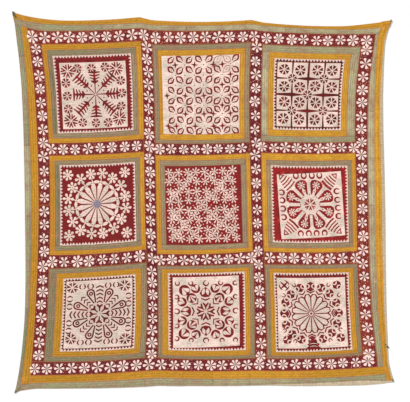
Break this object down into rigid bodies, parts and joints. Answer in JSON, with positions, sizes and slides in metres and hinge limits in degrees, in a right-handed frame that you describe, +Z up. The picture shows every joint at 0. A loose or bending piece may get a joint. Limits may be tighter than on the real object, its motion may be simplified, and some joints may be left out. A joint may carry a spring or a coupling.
{
  "type": "ralli quilt",
  "caption": "Hand-pieced appliqué bed quilt lying flat, with cream cut-out blocks on red grounds, ochre and sage frames, flowered red sashes and a pieced border.",
  "frame": {"origin": "middle of the quilt's outline, on the surface that it lies on", "axes": "+X to the quilt's right, +Y towards its top edge, +Z up out of its face"},
  "size_m": [2.02, 2.02, 0.0065],
  "materials": {
    "backing_cotton": "matte plain-woven cotton",
    "ochre_cotton": "matte plain-woven cotton",
    "sage_cotton": "matte plain-woven cotton",
    "printed_sash": "matte printed cotton",
    "red_ground": "matte dyed cotton",
    "cream_cotton": "matte plain-woven cotton"
  },
  "bodies": {
    "root": {"backing": "backing_cotton", "border_bottom_inner": "ochre_cotton", "border_bottom_outer": "sage_cotton", "border_left_inner": "ochre_cotton", "border_left_outer": "sage_cotton", "border_right_inner": "sage_cotton", "border_right_outer": "ochre_cotton", "border_top_inner": "sage_cotton", "border_top_outer": "ochre_cotton", "frame_inner_1": "sage_cotton", "frame_inner_2": "ochre_cotton", "frame_inner_3": "ochre_cotton", "frame_inner_4": "sage_cotton", "frame_inner_5": "sage_cotton", "frame_inner_6": "sage_cotton", "frame_inner_7": "ochre_cotton", "frame_inner_8": "ochre_cotton", "frame_inner_9": "ochre_cotton", "frame_outer_1": "ochre_cotton", "frame_outer_2": "sage_cotton", "frame_outer_3": "sage_cotton", "frame_outer_4": "ochre_cotton", "frame_outer_5": "ochre_cotton", "frame_outer_6": "ochre_cotton", "frame_outer_7": "sage_cotton", "frame_outer_8": "sage_cotton", "frame_outer_9": "sage_cotton", "ground_1": "red_ground", "ground_2": "red_ground", "ground_3": "red_ground", "ground_4": "red_ground", "ground_5": "red_ground", "ground_6": "red_ground", "ground_7": "red_ground", "ground_8": "red_ground", "ground_9": "red_ground", "sash_bottom": "printed_sash", "sash_level_1_1": "printed_sash", "sash_level_1_2": "printed_sash", "sash_level_1_3": "printed_sash", "sash_level_2_1": "printed_sash", "sash_level_2_2": "printed_sash", "sash_level_2_3": "printed_sash", "sash_top": "printed_sash", "sash_upright_1": "printed_sash", "sash_upright_2": "printed_sash", "sash_upright_3": "printed_sash", "sash_upright_4": "printed_sash", "top_cloth_1": "cream_cotton", "top_cloth_2": "cream_cotton", "top_cloth_3": "cream_cotton", "top_cloth_4": "cream_cotton", "top_cloth_5": "cream_cotton", "top_cloth_6": "cream_cotton", "top_cloth_7": "cream_cotton", "top_cloth_8": "cream_cotton", "top_cloth_9": "cream_cotton"}
  },
  "joints": []
}
